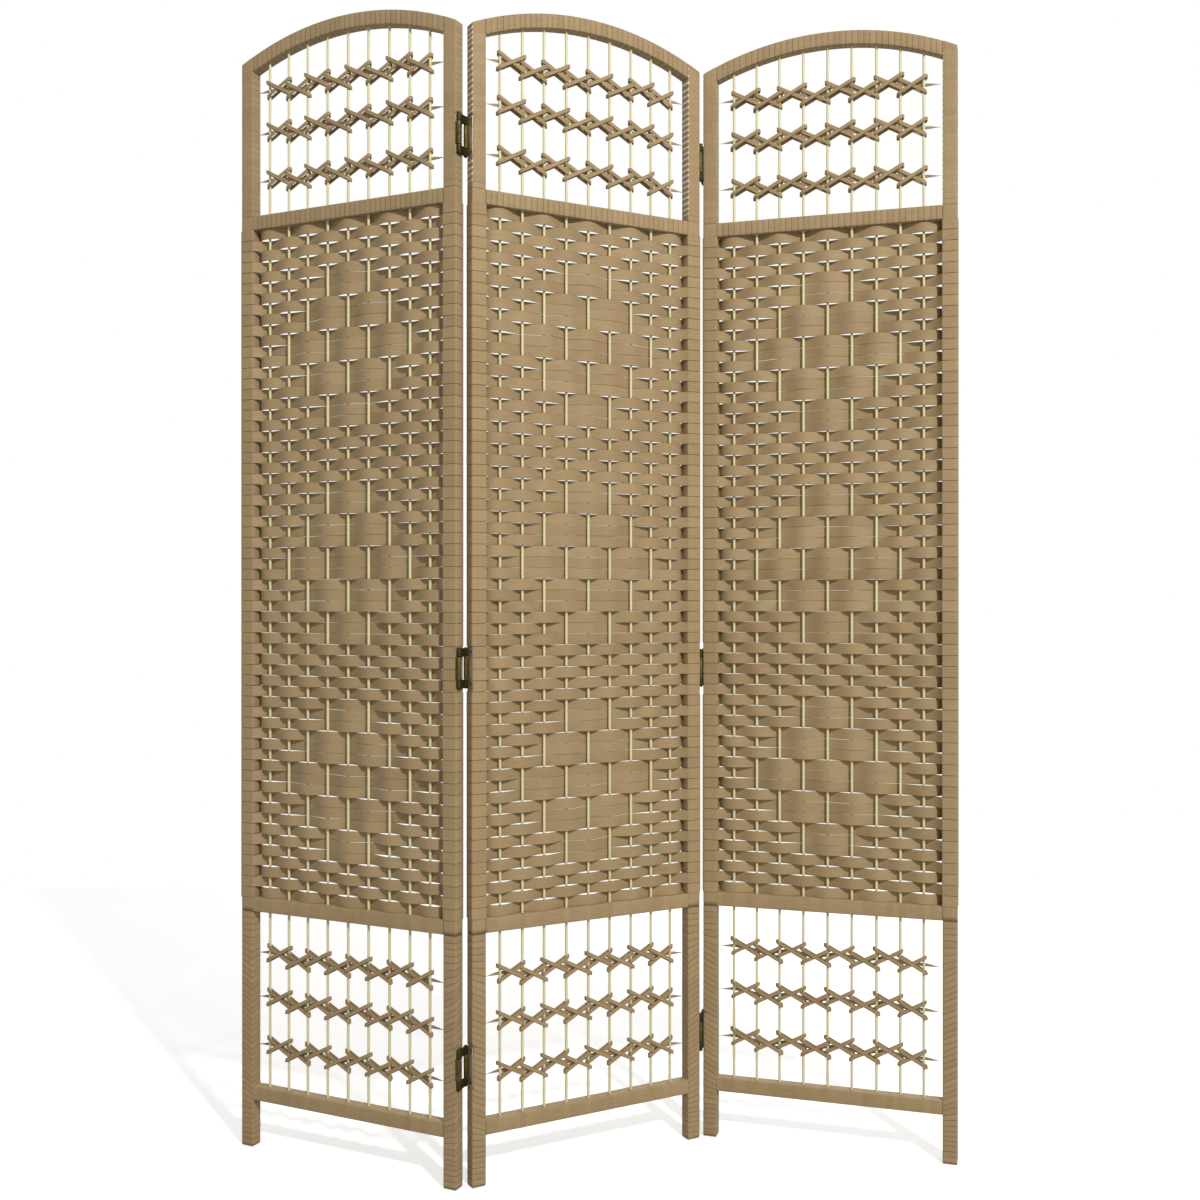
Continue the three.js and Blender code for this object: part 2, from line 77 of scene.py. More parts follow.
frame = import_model()
PANELS = ("left", "middle", "right")
FOLDS = ("fold_1", "fold_2")
PLACES = ("low", "mid", "top")
MM = 0.001
UP = np.array([0.0, 0.0, 1.0])


def linear(hex_colour):
    """An sRGB hex colour as linear red, green, blue and alpha."""
    values = [int(hex_colour[k : k + 2], 16) / 255 for k in (1, 3, 5)]
    return [v / 12.92 if v <= 0.04045 else ((v + 0.055) / 1.055) ** 2.4 for v in values] + [1.0]


def length(label, description, value):
    """A length property in metres, from a default in millimetres."""
    return bpy.props.FloatProperty(
        name=label, description=description, default=value * MM, subtype="DISTANCE", unit="LENGTH", precision=5
    )


def share(label, description, value):
    return bpy.props.FloatProperty(name=label, description=description, default=value, subtype="FACTOR")


def count(label, description, value):
    return bpy.props.IntProperty(name=label, description=description, default=value, min=1)


def colour(label, description, value):
    return bpy.props.FloatVectorProperty(
        name=label, description=description, default=linear(value), size=4, subtype="COLOR", min=0, max=1
    )


# ---------------------------------------------------------------- sizes and colours


class FrameSizes(bpy.types.PropertyGroup):
    """The wrapped timber of one panel."""

    stile_wide: length("Stile width", "Width of a stile, seen from the front", 22.3)
    thick: length("Thickness", "Thickness of stiles and rails, with their wrap", 19.6)
    edge_radius: length("Edge radius", "Rounding of the long edges under the wrap", 1.3)
    turn: length("Turn", "Width of one turn of the strip that is wound round the timber", 9.3)
    groove: length("Groove", "Depth of the groove between two turns", 0.35)
    lower_fall: share("Fall of the lower turns", "Slope of the lower turns across the front", 0.50)
    side_climb: share("Climb on the sides", "Slope of the turns across the sides of a stile", 0.42)
    arch_radius: length("Arch radius", "Outer radius of the arched top", 473.6)
    arch_centre: length("Arch centre", "Height of the centre of the arch", 1294.4)
    arch_deep: length("Arch depth", "Depth of the arched rail", 21.6)
    notch_deep: length("Notch depth", "Depth of the notch for a hinge leaf", 2.1)
    notch_half: length("Notch half height", "Half the height of the notch for a hinge leaf", 30.3)


class PlaitSizes(bpy.types.PropertyGroup):
    """The plaited infill of one panel."""

    rows: count("Rows", "Rows of strip between the cross rails", 63)
    thick: length("Strip thickness", "Thickness of one strip", 1.0)
    gap: length("Row gap", "Gap between two rows that lie flush", 0.15)
    wave: length("Wave", "How far a strip stands in front of or behind the rods", 5.3)
    at_stile: length("At the stile", "Middle of a strip from the panel's middle plane at a stile", 10.3)
    wander: length("Wander", "How far a strip strays up and down along its way", 0.2)
    window_half: length("Hinge window", "Half the height left open at the middle hinge", 32.0)


class CaneSizes(bpy.types.PropertyGroup):
    """The rods and the bindings that tie them."""

    rod_radius: length("Rod radius", "Radius of a cane rod", 2.15)
    strip_wide: length("Binding width", "Width of a binding strip", 5.8)
    strip_thick: length("Binding thickness", "Thickness of a binding strip", 1.3)
    rise: length("Binding rise", "How far a binding rises from one rod to the next", 20.0)
    back_drop: length("Back run", "How far the back run of a binding lies below its front run", 1.1)
    inner_clear: length("Inner clearance", "Gap between a rod and the inner binding", 1.2)
    outer_clear: length("Outer clearance", "Gap between a rod and the outer binding", 2.6)
    stagger: length("Stagger", "Height between neighbouring bindings of one row", 7.5)
    through_wide: length("Through strip width", "Width of the strip that runs through a row", 5.2)
    through_thick: length("Through strip thickness", "Thickness of the strip that runs through a row", 0.5)
    droop: length("Droop", "How far the pointed ends of that strip hang", 1.5)


class HingeSizes(bpy.types.PropertyGroup):
    """The double-action hinges."""

    barrel: length("Barrel radius", "Radius of a knuckle and of the ends of a link", 3.4)
    web: length("Web", "Width of the web between two barrels", 4.6)
    pin_head: length("Pin head radius", "Radius of the domed head of a pin", 2.5)
    leaf_thick: length("Leaf thickness", "Thickness of a leaf", 1.4)
    leaf_wide: length("Leaf width", "Width of a leaf across the stile", 18.0)
    leaf_half: length("Leaf half height", "Half the height of a leaf", 30.0)
    leaf_sunk: length("Leaf depth", "How far a leaf lies below the stile's edge", 0.5)
    edge: length("Edge", "Rounding of the edges of the metal", 0.35)
    link_edge: length("Link edge", "Rounding of the ends of a link", 1.9)
    screw: length("Screw head radius", "Radius of a screw head", 2.2)
    screw_proud: length("Screw head height", "How far a screw head stands proud", 0.35)
    screw_inset: length("Screw inset", "Distance of a screw from the end of its leaf", 6.0)


class Colours(bpy.types.PropertyGroup):
    """The finishes."""

    strip: colour("Strip", "Paper-fibre strip in full light", "#a28a63")
    strip_shade: colour("Strip shade", "Darker fibres of the strip", "#7a603e")
    # Painted shade: the groove line between turns and the edges of every strip.
    strip_groove_shade: colour("Groove", "The shaded line where two turns meet", "#3c2814")
    # Painted highlight: the pale line along the turns' edges on the side of a stile that faces left.
    strip_edge_highlight: colour("Cut edge", "The pale cut edge of a strip", "#f0e2d6")
    cane: colour("Cane", "Peeled cane", "#d6cfa3")
    cane_shade: colour("Cane shade", "Darker streaks of peeled cane", "#bdb482")
    brass: colour("Brass", "Aged brass where it is rubbed", "#6f673c")
    # Also gives the painted shade of the links and pins.
    brass_dark: colour("Dark brass", "Aged brass where it is tarnished", "#37311a")
    leaf_plate: colour("Leaf plate", "The paler plate of a hinge leaf", "#d2bfac")


class StageSettings(bpy.types.PropertyGroup):
    """Floor, light and camera."""

    floor_size: bpy.props.FloatProperty(
        name="Floor", description="Side of the floor", default=4.0, subtype="DISTANCE", unit="LENGTH"
    )
    floor_colour: colour("Floor colour", "Matt white floor", "#fbfaf8")
    surround: bpy.props.FloatProperty(
        name="Surround", description="Strength of the even light from all round", default=0.49
    )
    bounce: bpy.props.FloatProperty(
        name="Bounce", description="Share of its light that the floor throws back at the screen", default=0.5
    )
    glow: bpy.props.FloatProperty(
        name="Glow", description="How far the floor's shadows are washed out to the eye", default=0.3
    )
    camera_place: bpy.props.FloatVectorProperty(
        name="Camera", description="Place of the camera, which looks level along +y",
        default=(0.008414, -2.132336, 0.86994), subtype="TRANSLATION", unit="LENGTH",
    )
    focal_length: bpy.props.FloatProperty(name="Focal length", description="In millimetres", default=41.17)


# Each light: its place, its size and its power. The key gives the photograph's shadows and makes the
# middle panel the brightest. The back light serves the other views.
LAMPS = (
    ("key", (1.95, -4.05, 3.7), 0.4, 222.0),
    ("back", (1.5, 4.2, 3.2), 2.0, 90.0),
)

SETTINGS = {
    "screen_frame": FrameSizes,
    "screen_plait": PlaitSizes,
    "screen_cane": CaneSizes,
    "screen_hinge": HingeSizes,
    "screen_colours": Colours,
    "screen_stage": StageSettings,
}

# Each rod from the panel's middle, and each row of bindings from the floor.
ROD_AT = np.array([-150.8, -113.5, -76.7, -38.5, 0.0, 38.0, 76.4, 113.2, 148.9]) * MM
UPPER_TIES = np.array([1533.0, 1608.5, 1675.0]) * MM
LOWER_TIES = np.array([160.0, 236.0, 306.0]) * MM

# How a strip passes the nine rods: F in front, B behind. Odd rows go behind the stiles and even rows
# in front of them. A diamond is five groups of three rows, in which the middle row steps aside.
ODD_ROW = "FBFBFBFBF"
EVEN_ROW = "BFBFBFBFB"
DIAMOND_STARTS = (5, 25, 45)
DIAMOND_MIDDLES = ("BFBBFBBFB", "FBBFBFBBF", "BBFBFBFBB", "FBBFBFBBF", "BFBBFBBFB")


# ---------------------------------------------------------------- frame of each panel


def panel_axes(panel):
    """The point on the floor under the panel's middle, and the directions along and through it."""
    feet = {mount["name"]: np.array(mount["pos_m"]) for mount in frame["record"]["mounts"]}
    left, right = feet[f"{panel}_panel_left_foot"], feet[f"{panel}_panel_right_foot"]
    along = (right - left) / np.linalg.norm(right - left)
    return (left + right) / 2, along, np.cross(UP, along)


def to_row(panel, points):
    """Points in a panel's own axes, turned and moved to where the panel stands."""
    middle, along, through = panel_axes(panel)
    return middle + points[..., :1] * along + points[..., 1:2] * through + points[..., 2:] * UP


def span(node, axis=2):
    """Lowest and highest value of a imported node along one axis."""
    low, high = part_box(node)
    return low[axis], high[axis]


def half_wide():
    """Half the width of a panel: from its middle to the outer edge of a stile."""
    feet = [np.array(m["pos_m"]) for m in frame["record"]["mounts"] if m["name"].startswith("middle_")]
    return np.linalg.norm(feet[1] - feet[0]) / 2 + bpy.context.scene.screen_frame.stile_wide / 2


def arch_height(x, radius):
    """The height of a circle of the given radius about the arch's centre, at x."""
    return bpy.context.scene.screen_frame.arch_centre + np.sqrt(radius**2 - x**2)


def hinge_heights(panel, side):
    """Middle heights of the hinge leaves on one side of a panel, -1 for left and 1 for right."""
    name = "leaf_b" if side < 0 else "leaf_a"
    leaves = [n for n, o in frame["nodes"].items() if n.endswith(name) and o["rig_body"] == f"{panel}_panel"]
    return sorted(sum(span(n)) / 2 for n in leaves)


# ---------------------------------------------------------------- surfaces


def smooth_step(values, low, high):
    """Rises from 0 to 1 between low and high, with a level start and end."""
    t = np.clip((values - low) / (high - low), 0, 1)
    return t * t * (3 - 2 * t)


def rounded_box(corner_steps=3, side_steps=3):
    """A rounded rectangle as two arrays: the place of each point's rounding centre as a share of the
    half sides less the radius, and the direction from that centre. Counter-clockwise from (1, -1)."""
    centres, directions = [], []
    corners = [(1, -1), (1, 1), (-1, 1), (-1, -1)]
    for k, corner in enumerate(corners):
        turn = np.linspace(-0.5, 0, corner_steps + 1) * math.pi + k * math.pi / 2
        centres += [corner] * len(turn)
        directions += list(np.stack([np.cos(turn), np.sin(turn)], -1))
        ahead = corners[(k + 1) % 4]
        for step in range(1, side_steps):
            part = step / side_steps
            centres.append(tuple(a + (b - a) * part for a, b in zip(corner, ahead)))
            directions.append(directions[-1])
    return np.array(centres, float), np.array(directions)


def flat_strip(width, thick):
    """The section of a strip: six points, flat on both faces with blunt pointed edges."""
    w, t = width / 2, thick / 2
    return np.array([[-t, -w + t], [0, -w], [t, -w + t], [t, w - t], [0, w], [-t, w - t]])


def tube(points, along, across, tone, edge):
    """One closed tube: rings x profile x xyz, with strip coordinates, a tone and an edge mark for
    each point. The rings are joined by four-sided faces, and each end is closed by a fan."""
    rings, sides, _ = points.shape
    index = np.arange(rings * sides).reshape(rings, sides)
    after = np.roll(index, -1, axis=1)
    quads = np.stack([index[:-1], after[:-1], after[1:], index[1:]], -1).reshape(-1, 4)
    ends = rings * sides
    first = np.stack([after[0], index[0], np.full(sides, ends)], -1)
    last = np.stack([index[-1], after[-1], np.full(sides, ends + 1)], -1)
    vertices = np.concatenate([points.reshape(-1, 3), [points[0].mean(0), points[-1].mean(0)]])

    u = np.broadcast_to(np.reshape(along, (rings, -1)), (rings, sides))
    v = np.broadcast_to(across, (rings, sides + 1)) if np.ndim(across) < 2 else across
    low_u, high_u = u[:-1], u[1:]
    corner_u = np.stack([low_u, np.roll(low_u, -1, 1), np.roll(high_u, -1, 1), high_u], -1)
    corner_v = np.stack([v[:-1, :-1], v[:-1, 1:], v[1:, 1:], v[1:, :-1]], -1)
    quad_uv = np.stack([corner_u, corner_v], -1).reshape(-1, 2)
    fan_uv = [
        np.stack([np.full((sides, 3), u[end, 0]), np.repeat(v[end, :-1, None], 3, 1)], -1).reshape(-1, 2)
        for end in (0, -1)
    ]
    marks = [np.broadcast_to(np.reshape(mark, (-1, 1)) if np.ndim(mark) == 1 else mark, (rings, sides))
             for mark in (tone, edge)]
    marks = [np.concatenate([mark.reshape(-1), [mark[0].mean(), mark[-1].mean()]]) for mark in marks]
    return {"vertices": vertices, "quads": quads, "fans": np.concatenate([first, last]),
            "quad_uv": quad_uv, "fan_uv": np.concatenate(fan_uv), "tone": marks[0], "edge": marks[1]}


def make_piece(name, tubes, body, material, nodes=(), crease=40):
    """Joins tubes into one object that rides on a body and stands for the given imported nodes."""
    starts = np.cumsum([0] + [len(part["vertices"]) for part in tubes])
    vertices = np.concatenate([part["vertices"] for part in tubes])
    quads = np.concatenate([part["quads"] + start for part, start in zip(tubes, starts)])
    fans = np.concatenate([part["fans"] + start for part, start in zip(tubes, starts)])
    corners = np.concatenate([quads.ravel(), fans.ravel()])
    loop_starts = np.concatenate([np.arange(len(quads)) * 4, len(quads) * 4 + np.arange(len(fans)) * 3])
    uv = np.concatenate([part["quad_uv"] for part in tubes] + [part["fan_uv"] for part in tubes])

    mesh = bpy.data.meshes.new(name)
    mesh.vertices.add(len(vertices))
    mesh.vertices.foreach_set("co", vertices.astype(np.float32).ravel())
    mesh.loops.add(len(corners))
    mesh.loops.foreach_set("vertex_index", corners.astype(np.int32))
    mesh.polygons.add(len(loop_starts))
    mesh.polygons.foreach_set("loop_start", loop_starts.astype(np.int32))
    mesh.update(calc_edges=True)
    mesh.uv_layers.new(name="strip").uv.foreach_set("vector", uv.astype(np.float32).ravel())
    for mark in ("tone", "edge"):
        values = np.concatenate([part[mark] for part in tubes]).astype(np.float32)
        mesh.attributes.new(mark, "FLOAT", "POINT").data.foreach_set("value", values)
    mesh.polygons.foreach_set("use_smooth", np.ones(len(loop_starts), bool))
    mesh.set_sharp_from_angle(angle=math.radians(crease))
    if mesh.validate():
        raise RuntimeError(f"{name}: the mesh had faces that don't hold together")
    mesh.materials.append(material)
    piece = bpy.data.objects.new(name, mesh)
    bpy.context.scene.collection.objects.link(piece)
    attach(piece, body)
    if nodes:
        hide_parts(*nodes)
    return piece


def strip_along(path, section, tone, lead=0.0):
    """A flat strip whose middle follows a path: its width stands as upright as the path allows, and
    its section is laid out by that direction and the one square to both."""
    tangent = np.gradient(path, axis=0)
    tangent /= np.linalg.norm(tangent, axis=1, keepdims=True)
    upright = UP - tangent * tangent[:, 2:]
    upright /= np.linalg.norm(upright, axis=1, keepdims=True)
    out = np.cross(upright, tangent)
    if section.ndim == 2:
        section = np.broadcast_to(section, (len(path), *section.shape))
    points = path[:, None] + section[..., :1] * out[:, None] + section[..., 1:] * upright[:, None]
    run = np.concatenate([[0], np.cumsum(np.linalg.norm(np.diff(path, axis=0), axis=1))]) + lead
    across = np.append(section[0, :, 1], section[0, 0, 1])
    # Painted shade along the strip's two edges: their points are marked by edge.
    edge = np.where(np.abs(section[..., 0]) < 1e-9, 1.0, 0.0)
    return points, run, across, np.full((len(path), section.shape[1]), tone), edge


# ---------------------------------------------------------------- materials


def add(tree, kind, inputs=None, **fields):
    """Adds a node, sets its fields, and sets or links its inputs."""
    node = tree.nodes.new("ShaderNode" + kind)
    for field, value in fields.items():
        setattr(node, field, value)
    for socket, value in (inputs or {}).items():
        if isinstance(value, bpy.types.NodeSocket):
            tree.links.new(value, node.inputs[socket])
        else:
            node.inputs[socket].default_value = value
    return node


def new_material(name):
    material = bpy.data.materials.new(name)
    material.use_nodes = True
    material.node_tree.nodes.clear()
    return material, material.node_tree


def paper_strip(name, painted_shade_share):
    """Paper-fibre strip, twisted and pressed flat. It is matt, its fibres run along it in fine streaks, each turn is
    a slightly different tan, the line where turns meet and the edges of each strip are darkened as painted shade,
    and on the stiles the turns' edges carry a painted highlight."""
    colours = bpy.context.scene.screen_colours
    material, tree = new_material(name)
    uv = add(tree, "UVMap", uv_map="strip").outputs["UV"]
    tone = add(tree, "Attribute", attribute_name="tone").outputs["Fac"]
    edge = add(tree, "Attribute", attribute_name="edge").outputs["Fac"]
    place = add(tree, "TexCoord").outputs["Object"]
    # Real fibres are under 0.5 mm wide. They are drawn 1.6 mm wide and 25 mm long, so that they show.
    stretched = add(tree, "Mapping", {"Vector": uv, "Scale": (40.0, 620.0, 1.0)})
    fibre = add(tree, "TexNoise", {
        "Vector": stretched.outputs["Vector"], "Scale": 1.0, "Detail": 3.0, "Roughness": 0.6,
    }).outputs["Fac"]
    # Broad, faint changes of colour some 90 mm across, from batch and light.
    cloud = add(tree, "TexNoise", {"Vector": place, "Scale": 11.0, "Detail": 2.0}).outputs["Fac"]
    streak = add(tree, "MapRange", {"Value": fibre, 1: 0.35, 2: 0.72, 3: 0.0, 4: 0.28}).outputs[0]
    drift = add(tree, "MapRange", {"Value": cloud, 1: 0.3, 2: 0.7, 3: -0.05, 4: 0.12}).outputs[0]
    worn = add(tree, "MapRange", {"Value": tone, 1: 0.0, 2: 1.0, 3: 0.16, 4: -0.06}).outputs[0]
    sum_1 = add(tree, "Math", {0: streak, 1: drift}, operation="ADD").outputs[0]
    sum_2 = add(tree, "Math", {0: sum_1, 1: worn}, operation="ADD", use_clamp=True).outputs[0]
    base = add(tree, "Mix", {
        0: sum_2, 6: list(colours.strip), 7: list(colours.strip_shade),
    }, data_type="RGBA").outputs[2]
    # Painted shade: where edge is above 0, the grooves between turns and the edges of the strips are darkened
    # towards the groove colour.
    painted_shade = add(tree, "Math", {0: edge, 1: painted_shade_share}, operation="MULTIPLY", use_clamp=True).outputs[0]
    with_painted_shade = add(tree, "Mix", {0: painted_shade, 6: base, 7: list(colours.strip_groove_shade)}, data_type="RGBA").outputs[2]
    # Painted highlight: where edge is below 0, the turns' edges are lightened towards the pale edge colour.
    painted_highlight = add(tree, "Math", {0: edge, 1: -1.0}, operation="MULTIPLY", use_clamp=True).outputs[0]
    final = add(tree, "Mix", {0: painted_highlight, 6: with_painted_shade, 7: list(colours.strip_edge_highlight)}, data_type="RGBA").outputs[2]
    bump = add(tree, "Bump", {"Height": fibre, "Strength": 0.35, "Distance": 0.0004})
    rough = add(tree, "MapRange", {"Value": fibre, 1: 0.3, 2: 0.7, 3: 0.62, 4: 0.8}).outputs[0]
    shader = add(tree, "BsdfPrincipled", {
        "Base Color": final, "Roughness": rough, "IOR": 1.45, "Normal": bump.outputs["Normal"],
        "Sheen Weight": 0.08, "Sheen Roughness": 0.5,
    })
    add(tree, "OutputMaterial", {"Surface": shader.outputs["BSDF"]})
    return material


def peeled_cane():
    """Peeled cane: pale straw yellow, satin where it was scraped, with fine lengthwise streaks."""
    colours = bpy.context.scene.screen_colours
    material, tree = new_material("peeled_cane")
    uv = add(tree, "UVMap", uv_map="strip").outputs["UV"]
    tone = add(tree, "Attribute", attribute_name="tone").outputs["Fac"]
    # Streaks 1 mm wide and 60 mm long.
    stretched = add(tree, "Mapping", {"Vector": uv, "Scale": (16.0, 1000.0, 1.0)})
    grain = add(tree, "TexNoise", {
        "Vector": stretched.outputs["Vector"], "Scale": 1.0, "Detail": 3.0,
    }).outputs["Fac"]
    streak = add(tree, "MapRange", {"Value": grain, 1: 0.4, 2: 0.75, 3: 0.0, 4: 0.15}).outputs[0]
    shift = add(tree, "Math", {0: tone, 1: 0.25}, operation="MULTIPLY").outputs[0]
    both = add(tree, "Math", {0: streak, 1: shift}, operation="ADD", use_clamp=True).outputs[0]
    base = add(tree, "Mix", {
        0: both, 6: list(colours.cane), 7: list(colours.cane_shade),
    }, data_type="RGBA").outputs[2]
    bump = add(tree, "Bump", {"Height": grain, "Strength": 0.05, "Distance": 0.0001})
    shader = add(tree, "BsdfPrincipled", {
        "Base Color": base, "Roughness": 0.55, "IOR": 1.5, "Normal": bump.outputs["Normal"],
    })
    add(tree, "OutputMaterial", {"Surface": shader.outputs["BSDF"]})
    return material


def aged_brass():
    """Cast brass with an old bronze tarnish: olive brown and dull in patches, rubbed brighter and
    smoother between them, with a fine cast grain. The leaf plates are paler, and marked by tone. The
    links and pins are painted darker as shade, and marked by edge."""
    colours = bpy.context.scene.screen_colours
    material, tree = new_material("aged_brass")
    place = add(tree, "TexCoord").outputs["Object"]
    # Patches of tarnish some 12 mm across, and cast grain of 1 mm.
    patch = add(tree, "TexNoise", {"Vector": place, "Scale": 85.0, "Detail": 3.0, "Roughness": 0.5}).outputs["Fac"]
    grain = add(tree, "TexNoise", {"Vector": place, "Scale": 1000.0, "Detail": 2.0}).outputs["Fac"]
    tarnish = add(tree, "MapRange", {"Value": patch, 1: 0.4, 2: 0.75, 3: 0.0, 4: 0.8}).outputs[0]
    # Painted shade: the links and pins are darkened towards the dark brass, together with the tarnish patches.
    in_shade = add(tree, "Attribute", attribute_name="edge").outputs["Fac"]
    darkening = add(tree, "Math", {0: tarnish, 1: in_shade}, operation="MAXIMUM").outputs[0]
    cast = add(tree, "Mix", {
        0: darkening, 6: list(colours.brass), 7: list(colours.brass_dark),
    }, data_type="RGBA").outputs[2]
    plate = add(tree, "Attribute", attribute_name="tone").outputs["Fac"]
    base = add(tree, "Mix", {0: plate, 6: cast, 7: list(colours.leaf_plate)}, data_type="RGBA").outputs[2]
    rough = add(tree, "MapRange", {"Value": patch, 1: 0.4, 2: 0.7, 3: 0.6, 4: 0.75}).outputs[0]
    bump = add(tree, "Bump", {"Height": grain, "Strength": 0.3, "Distance": 0.0001})
    shader = add(tree, "BsdfPrincipled", {
        "Base Color": base, "Roughness": rough, "Metallic": 1.0, "Normal": bump.outputs["Normal"],
    })
    add(tree, "OutputMaterial", {"Surface": shader.outputs["BSDF"]})
    return material


def matt_floor():
    """A matt painted floor, white, with a roughness that varies a little. It looks white and almost
    free of shadow, and throws less light back, so that undersides are as dark as the photograph's."""
    settings = bpy.context.scene.screen_stage
    material, tree = new_material("matt_white_floor")
    place = add(tree, "TexCoord").outputs["Object"]
    cloud = add(tree, "TexNoise", {"Vector": place, "Scale": 3.0}).outputs["Fac"]
    rough = add(tree, "MapRange", {"Value": cloud, 3: 0.8, 4: 0.95}).outputs[0]
    seen = add(tree, "LightPath").outputs["Is Camera Ray"]
    dim = [channel * settings.bounce for channel in settings.floor_colour[:3]] + [1.0]
    base = add(tree, "Mix", {0: seen, 6: dim, 7: list(settings.floor_colour)}, data_type="RGBA").outputs[2]
    glow = add(tree, "MapRange", {"Value": seen, 3: 0.0, 4: settings.glow}).outputs[0]
    shader = add(tree, "BsdfPrincipled", {
        "Base Color": base, "Roughness": rough, "Emission Color": (1, 1, 1, 1), "Emission Strength": glow,
    })
    add(tree, "OutputMaterial", {"Surface": shader.outputs["BSDF"]})
    return material


# ---------------------------------------------------------------- wrapped frame


# One turn of the winding in five rings: their places as shares of the turn, their depths as shares of the groove,
# and the line they carry: above 0 painted groove shade, below 0 a painted highlight on the turn's edge.
TURN_STEPS = np.array([0.0, 0.07, 0.25, 0.45, 0.93])
TURN_DEPTH = np.array([1.0, 0.25, 0.0, 0.0, 0.12])
TURN_LINE = np.array([1.0, -0.5, -0.6, 0.0, 0.1])


def turn_rings(low, high, pitch, seed, swell=0.0):
    """Where the rings of a wound stretch lie: five for each turn, closest at its groove. Turns differ
    a little in size, and grow by the share swell from low to high. For each ring it gives its place,
    its depth as a share of the groove, its painted line (dark for shade, pale for a highlight), and its turn's tone."""
    turns = max(1, round((high - low) / pitch))
    random = np.random.RandomState(seed)
    sizes = 1 + 0.12 * (random.rand(turns) - 0.5) + swell * np.linspace(-0.5, 0.5, turns)
    edges = low + (high - low) * np.concatenate([[0], np.cumsum(sizes) / sizes.sum()])
    places = (edges[:-1, None] + np.diff(edges)[:, None] * TURN_STEPS).ravel()
    strength = 0.65 + 0.35 * random.rand(turns)
    depth, line = ((strength[:, None] * values).ravel() for values in (TURN_DEPTH, TURN_LINE))
    return places, depth, line, np.repeat(random.rand(turns), len(TURN_STEPS))


def stile_tube(panel, side):
    """A stile as one tube that climbs it. Below and above the infill its rings follow the turns of
    the winding: each ring is a plane that slopes across the front and the sides, and sinks into a
    groove between turns. The outer face is pressed in at each hinge, and the top follows the arch."""
    sizes = bpy.context.scene.screen_frame
    middle_x = side * (half_wide() - sizes.stile_wide / 2)
    infill_low = span(f"{panel}_lower_rail")[0]
    infill_high = span(f"{panel}_upper_rail")[1]
    top = arch_height(abs(middle_x), sizes.arch_radius)
    seed = 10 * PANELS.index(panel) + (side > 0)
    foot = np.array([0.0, 0.8 * MM, 2.2 * MM])
    lower = turn_rings(3.4 * MM, infill_low - 1 * MM, sizes.turn, seed, swell=0.12)
    upper = turn_rings(infill_high, top - 1 * MM, sizes.turn, seed + 100)
    plain = np.linspace(infill_low, infill_high - 1 * MM, 160)
    z = np.concatenate([foot, lower[0], plain, upper[0], [top]])
    groove, line, tone = (
        np.concatenate([np.full(3, rest), low_part, [first], np.full(len(plain) - 1, rest), high_part, [rest]])
        for low_part, high_part, rest, first in zip(lower[1:], upper[1:], (0.0, 0.0, 0.5), (1.0, 1.0, 0.5))
    )
    blunt = np.concatenate([np.array([2.2, 0.9, 0.2]) * MM, np.zeros(len(z) - 4), [0.4 * MM]])

    # Above the infill the winding is pressed almost smooth on the front and the back. Its groove lines are painted
    # shade, full on the side that faces left, fainter on the side that faces right and faintest on the front and
    # back; on the side that faces left the turns' edges also carry a painted highlight.
    centres, directions = rounded_box(3, 3)
    above = smooth_step(z, infill_high, infill_high + 20 * MM)[:, None]
    flat_face = np.abs(directions[:, 1]) > 0.5
    left_face = directions[:, 0] < -0.5
    sink = groove[:, None] * sizes.groove * (1 - 0.8 * above * flat_face) + blunt[:, None]
    painted_groove_shade = np.clip(line, 0, 1)[:, None] * (1 - above * np.where(flat_face, 0.8, np.where(left_face, 0, 0.6)))
    painted_highlight = np.clip(line, -1, 0)[:, None] * above * left_face * 2.2
    edge = painted_groove_shade + painted_highlight
    half = np.array([sizes.stile_wide / 2, sizes.thick / 2]) - sizes.edge_radius
    flat = centres * half + directions * sizes.edge_radius
    xy = flat[None] - directions[None] * sink[..., None]

    fall = sizes.lower_fall * smooth_step(z, 50 * MM, 110 * MM) * (1 - smooth_step(z, 290 * MM, 350 * MM))
    climb = sizes.side_climb * smooth_step(z, 20 * MM, 60 * MM) * (1 - smooth_step(z, 290 * MM, 350 * MM))
    x = middle_x + xy[..., 0]
    height = z[:, None] + fall[:, None] * side * xy[..., 0] + climb[:, None] * xy[..., 1]
    cap = arch_height(np.abs(x), sizes.arch_radius) - top
    height += cap * smooth_step(z, top - 40 * MM, top)[:, None]

    outer = middle_x + side * (sizes.stile_wide / 2 - sizes.notch_deep)
    beyond = side * (flat[:, 0] + middle_x - outer) > 0
    for middle in hinge_heights(panel, side):
        for column in np.flatnonzero(beyond):
            column_z = height[:, column]
            first, last = np.searchsorted(column_z, [middle - sizes.notch_half, middle + sizes.notch_half])
            height[first - 1 : first + 1, column] = middle - sizes.notch_half
            height[last - 1 : last + 1, column] = middle + sizes.notch_half
            x[first:last, column] = outer
    points = np.stack([x, np.broadcast_to(xy[..., 1], x.shape), height], -1)
    around = np.append(0, np.cumsum(np.linalg.norm(np.diff(flat, axis=0, append=flat[:1]), axis=1)))
    across = np.broadcast_to(around, (len(z), len(around)))
    return tube(to_row(panel, points), z[:, None], across, tone, edge)


